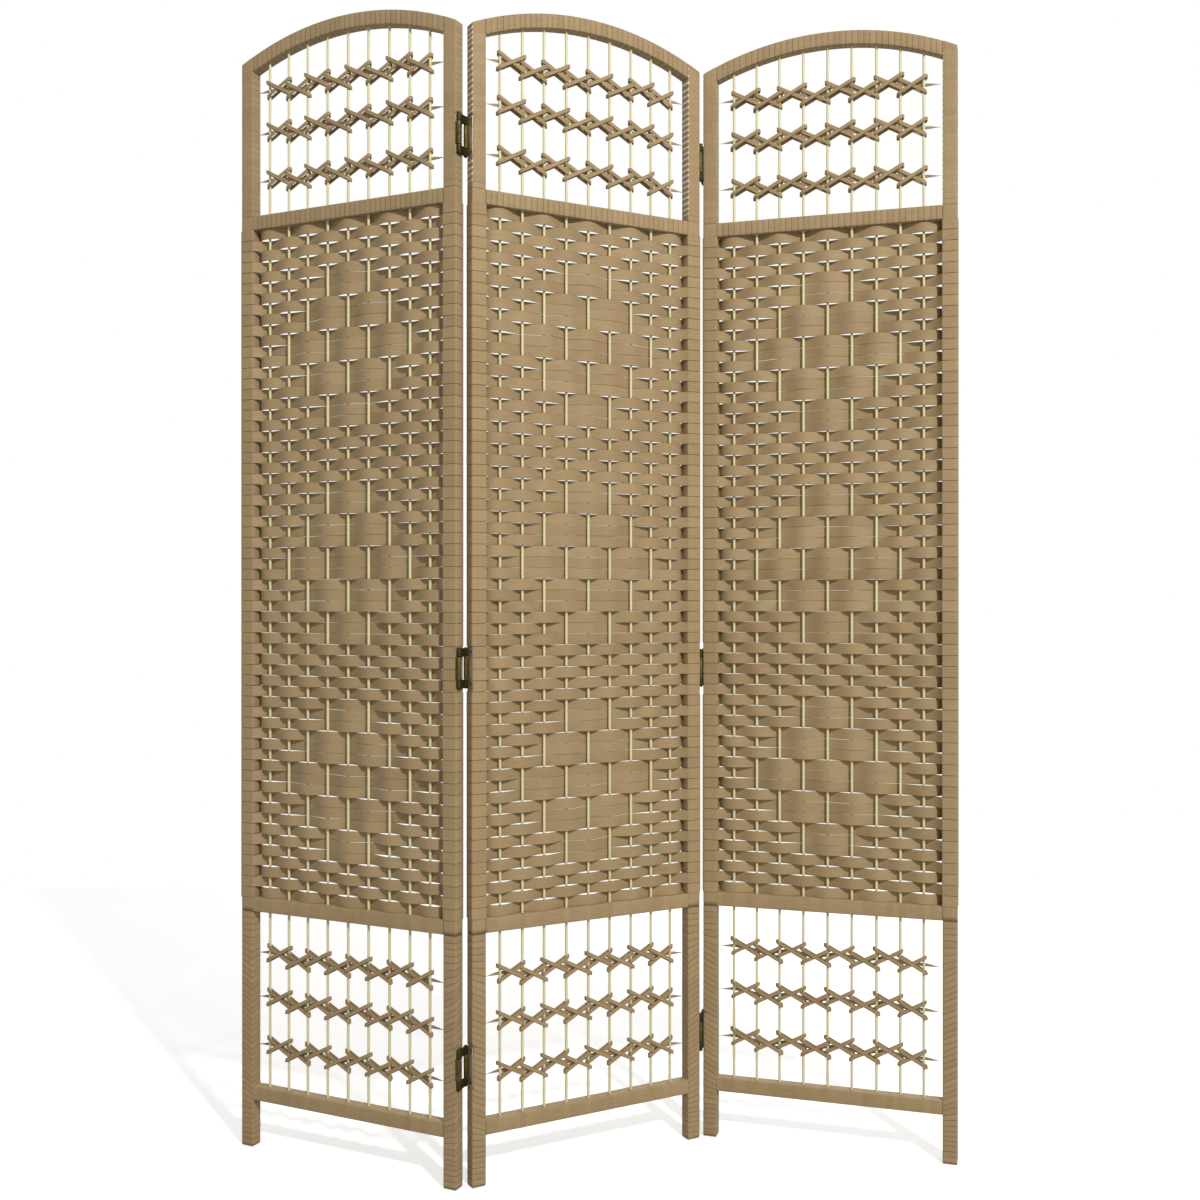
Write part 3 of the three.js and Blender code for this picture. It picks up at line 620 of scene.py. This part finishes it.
def rail_tube(panel, low, high, wound, seed):
    """A rail as one tube that runs along it, from one stile to the other. low and high give its
    lower and upper faces at each x. Its rings are upright planes that sink between turns; wound is 1
    for a rail whose turns show and less for one that is pressed smoother."""
    sizes = bpy.context.scene.screen_frame
    reach = half_wide() - sizes.stile_wide - 0.2 * MM
    x, groove, line, tone = turn_rings(-reach, reach, sizes.turn, seed)
    x, groove, line, tone = (np.append(values, last) for values, last in zip((x, groove, line, tone), (reach, 1.0, 0.5, 0.5)))
    centres, directions = rounded_box(3, 3)
    half_tall = (high(x) - low(x)) / 2
    middle = (high(x) + low(x)) / 2
    half = np.stack([np.full(len(x), sizes.thick / 2), half_tall], -1)[:, None] - sizes.edge_radius
    sink = sizes.edge_radius - groove[:, None, None] * sizes.groove * wound
    yz = centres * half + directions * sink
    points = np.stack([np.broadcast_to(x[:, None], yz.shape[:2]), yz[..., 0], middle[:, None] + yz[..., 1]], -1)
    around = np.append(0, np.cumsum(np.linalg.norm(np.diff(yz[0], axis=0, append=yz[0, :1]), axis=1)))
    # The groove lines are painted shade, as strong as wound allows.
    edge = np.broadcast_to(np.clip(line, 0, 1)[:, None] * wound, yz.shape[:2])
    return tube(to_row(panel, points), x[:, None], np.broadcast_to(around, (len(x), len(around))), tone, edge)


# ---------------------------------------------------------------- plaited infill


def row_sides():
    """For each row, -1 where the strip passes in front of a rod or stile and 1 where it passes
    behind: the left stile, the nine rods, the right stile."""
    sizes = bpy.context.scene.screen_plait
    rows = []
    for row in range(1, sizes.rows + 1):
        odd = row % 2 == 1
        passes = ODD_ROW if odd else EVEN_ROW
        for start in DIAMOND_STARTS:
            step, place = divmod(row - start, 3)
            if 0 <= step < len(DIAMOND_MIDDLES):
                inverse = step in (1, 3)
                passes = EVEN_ROW if inverse else ODD_ROW
                passes = DIAMOND_MIDDLES[step] if place == 1 else passes
        stile = 1 if odd else -1
        rows.append([stile] + [-1 if letter == "F" else 1 for letter in passes] + [stile])
    return np.array(rows, float)


def weave_path(sides, steps=10):
    """The way of one strip between the stiles: from rod to rod it swings from one face to the other
    by half a cosine wave, and it leaves a stile steeply and levels out at the first rod by a power
    of the distance."""
    plait, sizes = bpy.context.scene.screen_plait, bpy.context.scene.screen_frame
    inner = half_wide() - sizes.stile_wide
    knots_x = np.concatenate([[-inner], ROD_AT, [inner]])
    knots_y = sides * np.concatenate([[plait.at_stile], np.full(len(ROD_AT), plait.wave), [plait.at_stile]])
    t = np.arange(steps) / steps
    wave = (1 - np.cos(math.pi * t)) / 2
    swing = np.tile(wave, (len(knots_x) - 1, 1))
    swing[0] = 1 - (1 - t) ** 2.3
    swing[-1] = t**2.3
    x = (knots_x[:-1, None] + np.diff(knots_x)[:, None] * t).ravel()
    y = (knots_y[:-1, None] + np.diff(knots_y)[:, None] * swing).ravel()
    return np.append(x, knots_x[-1]), np.append(y, knots_y[-1])


def wrap_path(near):
    """The way of a strip round the right-hand stile, from where it meets it on the near face, round
    its outer side and its far face, to the inner side. near is -1 for the front, 1 for the back."""
    plait, sizes = bpy.context.scene.screen_plait, bpy.context.scene.screen_frame
    inner, outer = half_wide() - sizes.stile_wide, half_wide()
    radius = 1.4 * MM
    out = 0.5 * MM
    quarter = np.linspace(0, math.pi / 2, 4)
    y = plait.at_stile
    right, left = outer + out - radius, inner - out + radius
    face = np.linspace(inner, right, 5)[1:-1]
    first = np.stack([face, np.full(3, -y)], -1)
    corner_1 = np.stack([right + radius * np.sin(quarter), -y + radius * (1 - np.cos(quarter))], -1)
    corner_2 = np.stack([right + radius * np.cos(quarter), y - radius * (1 - np.sin(quarter))], -1)
    back = np.stack([np.linspace(right, left, 5)[1:-1], np.full(3, y)], -1)
    corner_3 = np.stack([left - radius * np.sin(quarter), y - radius * (1 - np.cos(quarter))], -1)
    tuck = np.stack([np.full(2, inner - out), np.array([0, -y + 2 * MM])], -1)
    near_part = np.concatenate([first, corner_1[:1]])
    far_part = np.concatenate([corner_2[-1:], back, corner_3, tuck])
    whole = np.concatenate([first, corner_1, corner_2, back, corner_3, tuck])
    return [part * [1, -near] for part in (whole, near_part, far_part)]


def infill_strips(panel):
    """Every strip of a panel's infill. Each is one strip that wraps both stiles, or is cut at the
    outer side of a stile where the middle hinge lies."""
    plait = bpy.context.scene.screen_plait
    low, high = span(f"{panel}_lower_rail")[1], span(f"{panel}_upper_rail")[0]
    pitch = (high - low) / plait.rows
    random = np.random.RandomState(40 + PANELS.index(panel))
    hinges = {side: [z for z in hinge_heights(panel, side) if low < z < high] for side in (-1, 1)}
    tubes = []
    for row, sides in enumerate(row_sides()):
        z = high - (row + 0.5) * pitch
        section = flat_strip(pitch - plait.gap, plait.thick)
        open_side = {side: any(abs(z - h) < plait.window_half + pitch / 2 for h in hinges[side]) for side in (-1, 1)}
        x, y = weave_path(sides)
        ways = {side: wrap_path(sides[0]) for side in (-1, 1)}
        right = ways[1][1] if open_side[1] else ways[1][0]
        left = (ways[-1][1] if open_side[-1] else ways[-1][0])[::-1] * [-1, 1]
        paths = [np.concatenate([left, np.stack([x, y], -1), right])]
        paths += [ways[side][2] * [side, 1] for side in (-1, 1) if open_side[side]]
        tone, phase = random.rand(), random.rand(3) * 2 * math.pi
        for way in paths:
            if way[0, 0] > way[-1, 0]:
                way = way[::-1]
            stray = np.sin(way[:, 0] * 31 + phase[0]) + 0.6 * np.sin(way[:, 0] * 73 + phase[1])
            height = z + plait.wander * 0.6 * stray * smooth_step(0.19 - np.abs(way[:, 0]), 0, 0.03)
            path = np.column_stack([way, height])
            points, run, across, tones, edge = strip_along(path, section, tone, lead=row * 0.7)
            tubes.append(tube(to_row(panel, points), run[:, None], across[None] + np.zeros((len(path), 1)), tones, edge))
    return tubes


# ---------------------------------------------------------------- rods and bindings


def rod_tube(panel, x, seed):
    """A cane rod: a round tube from its socket in the bottom rail to its socket in the arch, whose
    radius swells and shrinks by a few hundredths along its length."""
    cane, sizes = bpy.context.scene.screen_cane, bpy.context.scene.screen_frame
    low = span(f"{panel}_bottom_rail")[1] - 8 * MM
    high = arch_height(x, sizes.arch_radius - sizes.arch_deep) + 8 * MM
    z = np.linspace(low, high, 60)
    radius = cane.rod_radius * (0.98 + 0.02 * np.sin(z * 9 + seed) * np.sin(z * 23 + 2 * seed))
    turn = np.arange(12) / 12 * 2 * math.pi
    circle = np.stack([np.cos(turn), np.sin(turn)], -1)
    xy = circle[None] * radius[:, None, None]
    points = np.stack([x + xy[..., 0], xy[..., 1], np.broadcast_to(z[:, None], xy.shape[:2])], -1)
    around = np.arange(13) / 12 * 2 * math.pi * cane.rod_radius + seed
    random = np.random.RandomState(seed)
    return tube(to_row(panel, points), z[:, None], np.broadcast_to(around, (60, 13)),
                np.full(60, random.rand()), np.zeros(60))


def loop_strip(panel, x0, x1, z, rise, clear, tone):
    """A strip looped round two rods: a stadium round both that rises from one rod to the other. Its
    back run lies a little lower than its front run, and it starts and ends at the back."""
    cane = bpy.context.scene.screen_cane
    reach = cane.rod_radius + clear + cane.strip_thick / 2
    turn = np.linspace(-math.pi / 2, math.pi / 2, 7)
    right = np.stack([x1 + reach * np.cos(turn), reach * np.sin(turn)], -1)
    left = np.stack([x0 - reach * np.cos(turn), -reach * np.sin(turn)], -1)
    middle = (x0 + x1) / 2
    seam = 0.3 * MM
    front = np.stack([np.linspace(x0, x1, 6)[1:-1], np.full(4, -reach)], -1)
    path = np.concatenate([[[middle - seam, reach]], left, front, right, [[middle + seam, reach]]])
    height = z + rise * (path[:, 0] - middle) / (x1 - x0)
    height += cane.back_drop * (0.5 - smooth_step(path[:, 1], -reach, reach))
    path = np.column_stack([path, height])
    points, run, across, tones, edge = strip_along(path, flat_strip(cane.strip_wide, cane.strip_thick), tone)
    return tube(to_row(panel, points), run[:, None], across[None] + np.zeros((len(path), 1)), tones, edge)


def through_strip(panel, z, tone):
    """The flat strip that runs through a row of bindings from stile to stile, passing each rod in
    front and behind by turns. Its ends narrow to points that droop a little."""
    cane, sizes = bpy.context.scene.screen_cane, bpy.context.scene.screen_frame
    inner = half_wide() - sizes.stile_wide - 0.8 * MM
    x = np.linspace(-inner, inner, 90)
    knots = np.concatenate([[-inner], ROD_AT, [inner]])
    reach = cane.rod_radius + cane.through_thick / 2 + 0.05 * MM
    side = np.concatenate([[0], np.tile([1, -1], 5)[:9], [0]]) * reach
    y = np.interp(x, knots, side)
    end = smooth_step(inner - np.abs(x), 0, inner - np.abs(ROD_AT[0]))
    gap = np.clip(np.searchsorted(ROD_AT, x) - 1, 0, len(ROD_AT) - 2)
    level = np.where(gap % 2 == 0, 0.5, -0.5) * cane.stagger
    level = np.convolve(np.pad(level, 4, mode="edge"), np.ones(9) / 9, mode="valid")
    path = np.column_stack([x, y, z + level - cane.droop * (1 - end)])
    width = cane.through_wide * (0.04 + 0.96 * end)
    section = flat_strip(1.0, 0.2)[None] * np.stack([np.full(len(x), cane.through_thick * 5), width], -1)[:, None]
    points, run, across, tones, edge = strip_along(path, section, tone)
    return tube(to_row(panel, points), run[:, None], across[None] + np.zeros((len(path), 1)), tones, edge)


def binding_tubes(panel):
    """Every binding of a panel: in each row and gap two crossed loops, and a through strip. Above
    the infill the rising loop is outermost, and below it the falling one."""
    cane = bpy.context.scene.screen_cane
    random = np.random.RandomState(70 + PANELS.index(panel))
    tubes = []
    for z in (*UPPER_TIES, *LOWER_TIES):
        rising_outside = (z in UPPER_TIES) == (panel != "left")
        tubes.append(through_strip(panel, z, random.rand()))
        for gap in range(len(ROD_AT) - 1):
            middle = z + (0.5 if gap % 2 == 0 else -0.5) * cane.stagger
            for rise in (1, -1):
                outside = (rise > 0) == rising_outside
                clear = cane.outer_clear if outside else cane.inner_clear
                tubes.append(loop_strip(panel, ROD_AT[gap], ROD_AT[gap + 1], middle, rise * cane.rise, clear,
                                        random.rand()))
    return tubes


# ---------------------------------------------------------------- hinges


def plain_tube(points, tone=0.0, darkening=0.0):
    """A tube of metal, with strip coordinates that count its rings and sides."""
    rings, sides, _ = points.shape
    # The last argument marks painted shade, carried by edge.
    return tube(points, np.arange(rings)[:, None] * MM, np.arange(sides + 1) * MM * np.ones((rings, 1)),
                np.full(rings, tone), np.full(rings, darkening))


def prism(outline, low, high, bevel):
    """An outline in two directions, raised from low to high, with its top and bottom edges rounded:
    the outline is drawn in along its own normals by a quarter of a circle at both ends."""
    ahead, behind = np.roll(outline, -1, axis=0), np.roll(outline, 1, axis=0)
    chord = ahead - behind
    normal = np.stack([chord[:, 1], -chord[:, 0]], -1) / np.linalg.norm(chord, axis=1, keepdims=True)
    turn = np.linspace(0, math.pi / 2, 4)
    rise, inset = bevel * (1 - np.cos(turn)), bevel * (1 - np.sin(turn))
    heights = np.concatenate([low + rise, high - rise[::-1]])
    insets = np.concatenate([inset, inset[::-1]])
    return np.stack([np.column_stack([outline - normal * i, np.full(len(outline), z)]) for z, i in zip(heights, insets)])


def barrel_arc(centre, mouth_turn, steps=14):
    """Most of a circle round a barrel, open towards mouth_turn where the web leaves it."""
    sizes = bpy.context.scene.screen_hinge
    mouth = math.asin(sizes.web / 2 / sizes.barrel)
    turn = mouth_turn + np.linspace(mouth, 2 * math.pi - mouth, steps)
    return centre + sizes.barrel * np.stack([np.cos(turn), np.sin(turn)], -1)


def dome(centre, radius, low, height, sides=16):
    """A low round head: a disc whose edge curves in to the top by a quarter of an ellipse."""
    turn = np.arange(sides) / sides * 2 * math.pi
    circle = np.stack([np.cos(turn), np.sin(turn)], -1)
    lift = np.array([0.0, 0.5, 0.85, 0.98])
    shrink = np.sqrt(np.clip(1 - lift**2, 0, 1))
    rings = [np.column_stack([centre + circle * radius * s, np.full(sides, low + height * h)])
             for s, h in zip(shrink, lift)]
    return np.stack(rings)


def link_tubes(pin_a, pin_b, low, high):
    """A link: two barrels and the web between them, as one prism."""
    turn = math.atan2(*(pin_b - pin_a)[::-1])
    outline = np.concatenate([barrel_arc(pin_a, turn), barrel_arc(pin_b, turn + math.pi)])
    # The link is painted darker as shade.
    return [plain_tube(prism(outline, low, high, bpy.context.scene.screen_hinge.link_edge), darkening=0.7)]


def pin_tubes(pin, low, high):
    """A pin: a straight shank with a domed head at each end."""
    sizes = bpy.context.scene.screen_hinge
    head = 0.8 * MM
    turn = np.arange(16) / 16 * 2 * math.pi
    shank = pin + 1.5 * MM * np.stack([np.cos(turn), np.sin(turn)], -1)
    top = dome(pin, sizes.pin_head, high - head, head)
    bottom = dome(pin, sizes.pin_head, 0, head)
    bottom[..., 2] = low + head - bottom[..., 2]
    shank = prism(shank, low + head / 2, high - head / 2, sizes.edge)
    # The pin is painted darker as shade.
    return [plain_tube(points, darkening=0.7) for points in (shank, top, bottom[::-1])]


def leaf_tubes(panel, side, pin, z, knuckle_low, knuckle_high):
    """A leaf: a thin plate with rounded corners in the stile's edge, a knuckle on a web, and two
    domed screw heads with the plate's corners eased. pin is the pin's place in the panel's axes."""
    sizes = bpy.context.scene.screen_hinge
    half = sizes.leaf_half
    outer = half_wide() - sizes.leaf_sunk
    corner = 2.5 * MM
    centres, directions = rounded_box(4, 2)
    outline = centres * (np.array([sizes.leaf_wide / 2, half]) - corner) + directions * corner
    plate = prism(outline, outer - sizes.leaf_thick, outer, sizes.edge)
    # The plate is drawn in y and z and raised along x, which keeps its faces outward.
    plate = plate[..., [2, 0, 1]] + [0, 0, z]
    heads = [dome(np.array([-side * pin[1] / 2, z + end * (half - sizes.screw_inset)]), sizes.screw,
                  outer, sizes.screw_proud)[..., [2, 0, 1]] for end in (-1, 1)]
    local_pin = np.array([side * pin[0], side * pin[1]])
    arc = barrel_arc(local_pin, math.pi)
    root = outer - sizes.leaf_thick / 2
    outline = np.concatenate([arc, [[root, local_pin[1] - sizes.web / 2], [root, local_pin[1] + sizes.web / 2]]])
    if arc[-1, 1] > arc[0, 1]:
        outline[-2:] = outline[-2:][::-1]
    knuckle = prism(outline, knuckle_low, knuckle_high, sizes.edge)
    turned = [to_row(panel, points * [side, side, 1]) for points in (plate, knuckle, *heads)]
    return [plain_tube(turned[0], tone=1.0)] + [plain_tube(points) for points in turned[1:]]


# ---------------------------------------------------------------- operators


class SCREEN_OT_stage(bpy.types.Operator):
    """Lay the floor, light the scene and set the camera where the photograph was taken"""

    bl_idname = "screen.stage"
    bl_label = "Stage"

    def execute(self, context):
        settings = context.scene.screen_stage
        half = settings.floor_size / 2
        mesh = bpy.data.meshes.new("floor")
        corners = [(-half, -half, 0), (half, -half, 0), (half, half, 0), (-half, half, 0)]
        mesh.from_pydata(corners, [], [(0, 1, 2, 3)])
        mesh.materials.append(matt_floor())
        floor = bpy.data.objects.new("floor", mesh)
        context.scene.collection.objects.link(floor)

        # The surround is white to the eye, and lights the screen less than it looks.
        world = bpy.data.worlds.new("white_surround")
        world.use_nodes = True
        tree = world.node_tree
        tree.nodes.clear()
        seen = add(tree, "LightPath").outputs["Is Camera Ray"]
        strength = add(tree, "MapRange", {"Value": seen, 3: settings.surround, 4: 1.0}).outputs[0]
        light = add(tree, "Background", {"Color": (1, 1, 1, 1), "Strength": strength})
        add(tree, "OutputWorld", {"Surface": light.outputs[0]})
        context.scene.world = world

        for name, place, size, power in LAMPS:
            lamp = bpy.data.lights.new(name, "AREA")
            lamp.shape = "DISK"
            lamp.size = size
            lamp.energy = power
            holder = bpy.data.objects.new(name, lamp)
            holder.location = place
            aim = np.array([0, 0, 0.85]) - place
            holder.rotation_euler = (math.acos(-aim[2] / np.linalg.norm(aim)), 0, math.atan2(aim[1], aim[0]) - math.pi / 2)
            context.scene.collection.objects.link(holder)

        lens = bpy.data.cameras.new("camera")
        lens.lens = settings.focal_length
        lens.sensor_width = 36
        camera = bpy.data.objects.new("camera", lens)
        camera.location = settings.camera_place
        camera.rotation_euler = (math.pi / 2, 0, 0)
        context.scene.collection.objects.link(camera)
        context.scene.camera = camera
        context.scene.view_settings.view_transform = "Standard"
        return {"FINISHED"}


class SCREEN_OT_stiles(bpy.types.Operator):
    """Build the six wrapped stiles"""

    bl_idname = "screen.stiles"
    bl_label = "Stiles"

    def execute(self, context):
        material = paper_strip("wound_paper_strip", 0.9)
        for panel in PANELS:
            for side, name in ((-1, "left"), (1, "right")):
                node = f"{panel}_stile_{name}"
                make_piece(f"{node}_wound", [stile_tube(panel, side)], f"{panel}_panel", material, [node])
        return {"FINISHED"}


class SCREEN_OT_rails(bpy.types.Operator):
    """Build the arched rails and the straight rails"""

    bl_idname = "screen.rails"
    bl_label = "Rails"

    def execute(self, context):
        sizes = context.scene.screen_frame
        material = paper_strip("rail_paper_strip", 0.9)
        for number, panel in enumerate(PANELS):
            arch = rail_tube(
                panel,
                lambda x: arch_height(x, sizes.arch_radius - sizes.arch_deep),
                lambda x: arch_height(x, sizes.arch_radius),
                1.0, 200 + number,
            )
            node = f"{panel}_arch_rail"
            make_piece(f"{node}_wound", [arch], f"{panel}_panel", material, [node])
            for place, wound in (("upper", 1.0), ("lower", 0.1), ("bottom", 0.1)):
                node = f"{panel}_{place}_rail"
                low, high = span(node)
                rail = rail_tube(
                    panel, lambda x: np.full(len(x), low), lambda x: np.full(len(x), high),
                    wound, 300 + number,
                )
                make_piece(f"{node}_wound", [rail], f"{panel}_panel", material, [node])
        return {"FINISHED"}


class SCREEN_OT_infill(bpy.types.Operator):
    """Plait the infill of each panel"""

    bl_idname = "screen.infill"
    bl_label = "Plaited infill"

    def execute(self, context):
        material = paper_strip("plaited_paper_strip", 0.8)
        for panel in PANELS:
            node = f"{panel}_plaited_infill"
            make_piece(f"{node}_strips", infill_strips(panel), f"{panel}_panel", material, [node])
        return {"FINISHED"}


class SCREEN_OT_rods(bpy.types.Operator):
    """Set the cane rods"""

    bl_idname = "screen.rods"
    bl_label = "Cane rods"

    def execute(self, context):
        material = peeled_cane()
        for number, panel in enumerate(PANELS):
            tubes = [rod_tube(panel, x, 10 * number + k) for k, x in enumerate(ROD_AT)]
            make_piece(f"{panel}_rods", tubes, f"{panel}_panel", material, [f"{panel}_rod_grille"])
        return {"FINISHED"}


class SCREEN_OT_bindings(bpy.types.Operator):
    """Tie the rods with crossed bindings"""

    bl_idname = "screen.bindings"
    bl_label = "Bindings"

    def execute(self, context):
        material = paper_strip("binding_paper_strip", 0.6)
        for panel in PANELS:
            make_piece(f"{panel}_bindings", binding_tubes(panel), f"{panel}_panel", material,
                       [f"{panel}_rod_grille"])
        return {"FINISHED"}


class SCREEN_OT_hinges(bpy.types.Operator):
    """Build the six double-action hinges"""

    bl_idname = "screen.hinges"
    bl_label = "Hinges"

    def execute(self, context):
        material = aged_brass()

        def hinge_piece(node, tubes):
            make_piece(f"{node}_cast", tubes, frame["nodes"][node]["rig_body"], material, [node])

        for fold in FOLDS:
            for place in PLACES:
                name = f"{fold}_{place}"
                boxes = {pin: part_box(f"{name}_{pin}") for pin in ("pin_a", "pin_b")}
                pins = {pin: np.array((low + high) / 2)[:2] for pin, (low, high) in boxes.items()}
                for pin, (low, high) in boxes.items():
                    hinge_piece(f"{name}_{pin}", pin_tubes(pins[pin], low[2], high[2]))
                for link in ("link_top", "link_low"):
                    low, high = span(f"{name}_{link}")
                    hinge_piece(f"{name}_{link}", link_tubes(pins["pin_a"], pins["pin_b"], low, high))
                knuckle = (span(f"{name}_link_low")[1] + 0.3 * MM, span(f"{name}_link_top")[0] - 0.3 * MM)
                for leaf, pin, side in (("leaf_a", "pin_a", 1), ("leaf_b", "pin_b", -1)):
                    node = f"{name}_{leaf}"
                    panel = frame["nodes"][node]["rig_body"].removesuffix("_panel")
                    middle, along, through = panel_axes(panel)
                    offset = np.append(pins[pin], 0) - middle
                    local = np.array([offset @ along, offset @ through])
                    hinge_piece(node, leaf_tubes(panel, side, local, sum(span(node)) / 2, *knuckle))
        return {"FINISHED"}


OPERATORS = (
    SCREEN_OT_stage, SCREEN_OT_stiles, SCREEN_OT_rails, SCREEN_OT_infill, SCREEN_OT_rods, SCREEN_OT_bindings,
    SCREEN_OT_hinges,
)


class SCREEN_PT_panel(bpy.types.Panel):
    """The screen's pieces and settings"""

    bl_label = "Folding screen"
    bl_space_type = "VIEW_3D"
    bl_region_type = "UI"
    bl_category = "Screen"

    def draw(self, context):
        for operator in OPERATORS:
            self.layout.operator(operator.bl_idname)
        for name, group in SETTINGS.items():
            box = self.layout.box()
            box.label(text=group.__name__)
            for field in group.__annotations__:
                box.prop(getattr(context.scene, name), field)


def register():
    for group in SETTINGS.values():
        bpy.utils.register_class(group)
    for name, group in SETTINGS.items():
        setattr(bpy.types.Scene, name, bpy.props.PointerProperty(type=group))
    for operator in OPERATORS:
        bpy.utils.register_class(operator)
    bpy.utils.register_class(SCREEN_PT_panel)


def unregister():
    bpy.utils.unregister_class(SCREEN_PT_panel)
    for operator in reversed(OPERATORS):
        bpy.utils.unregister_class(operator)
    for name in SETTINGS:
        delattr(bpy.types.Scene, name)
    for group in SETTINGS.values():
        bpy.utils.unregister_class(group)


def main():
    register()
    bpy.ops.screen.stage()
    bpy.ops.screen.stiles()
    bpy.ops.screen.rails()
    bpy.ops.screen.infill()
    bpy.ops.screen.rods()
    bpy.ops.screen.bindings()
    bpy.ops.screen.hinges()


if __name__ == "__main__":
    main()
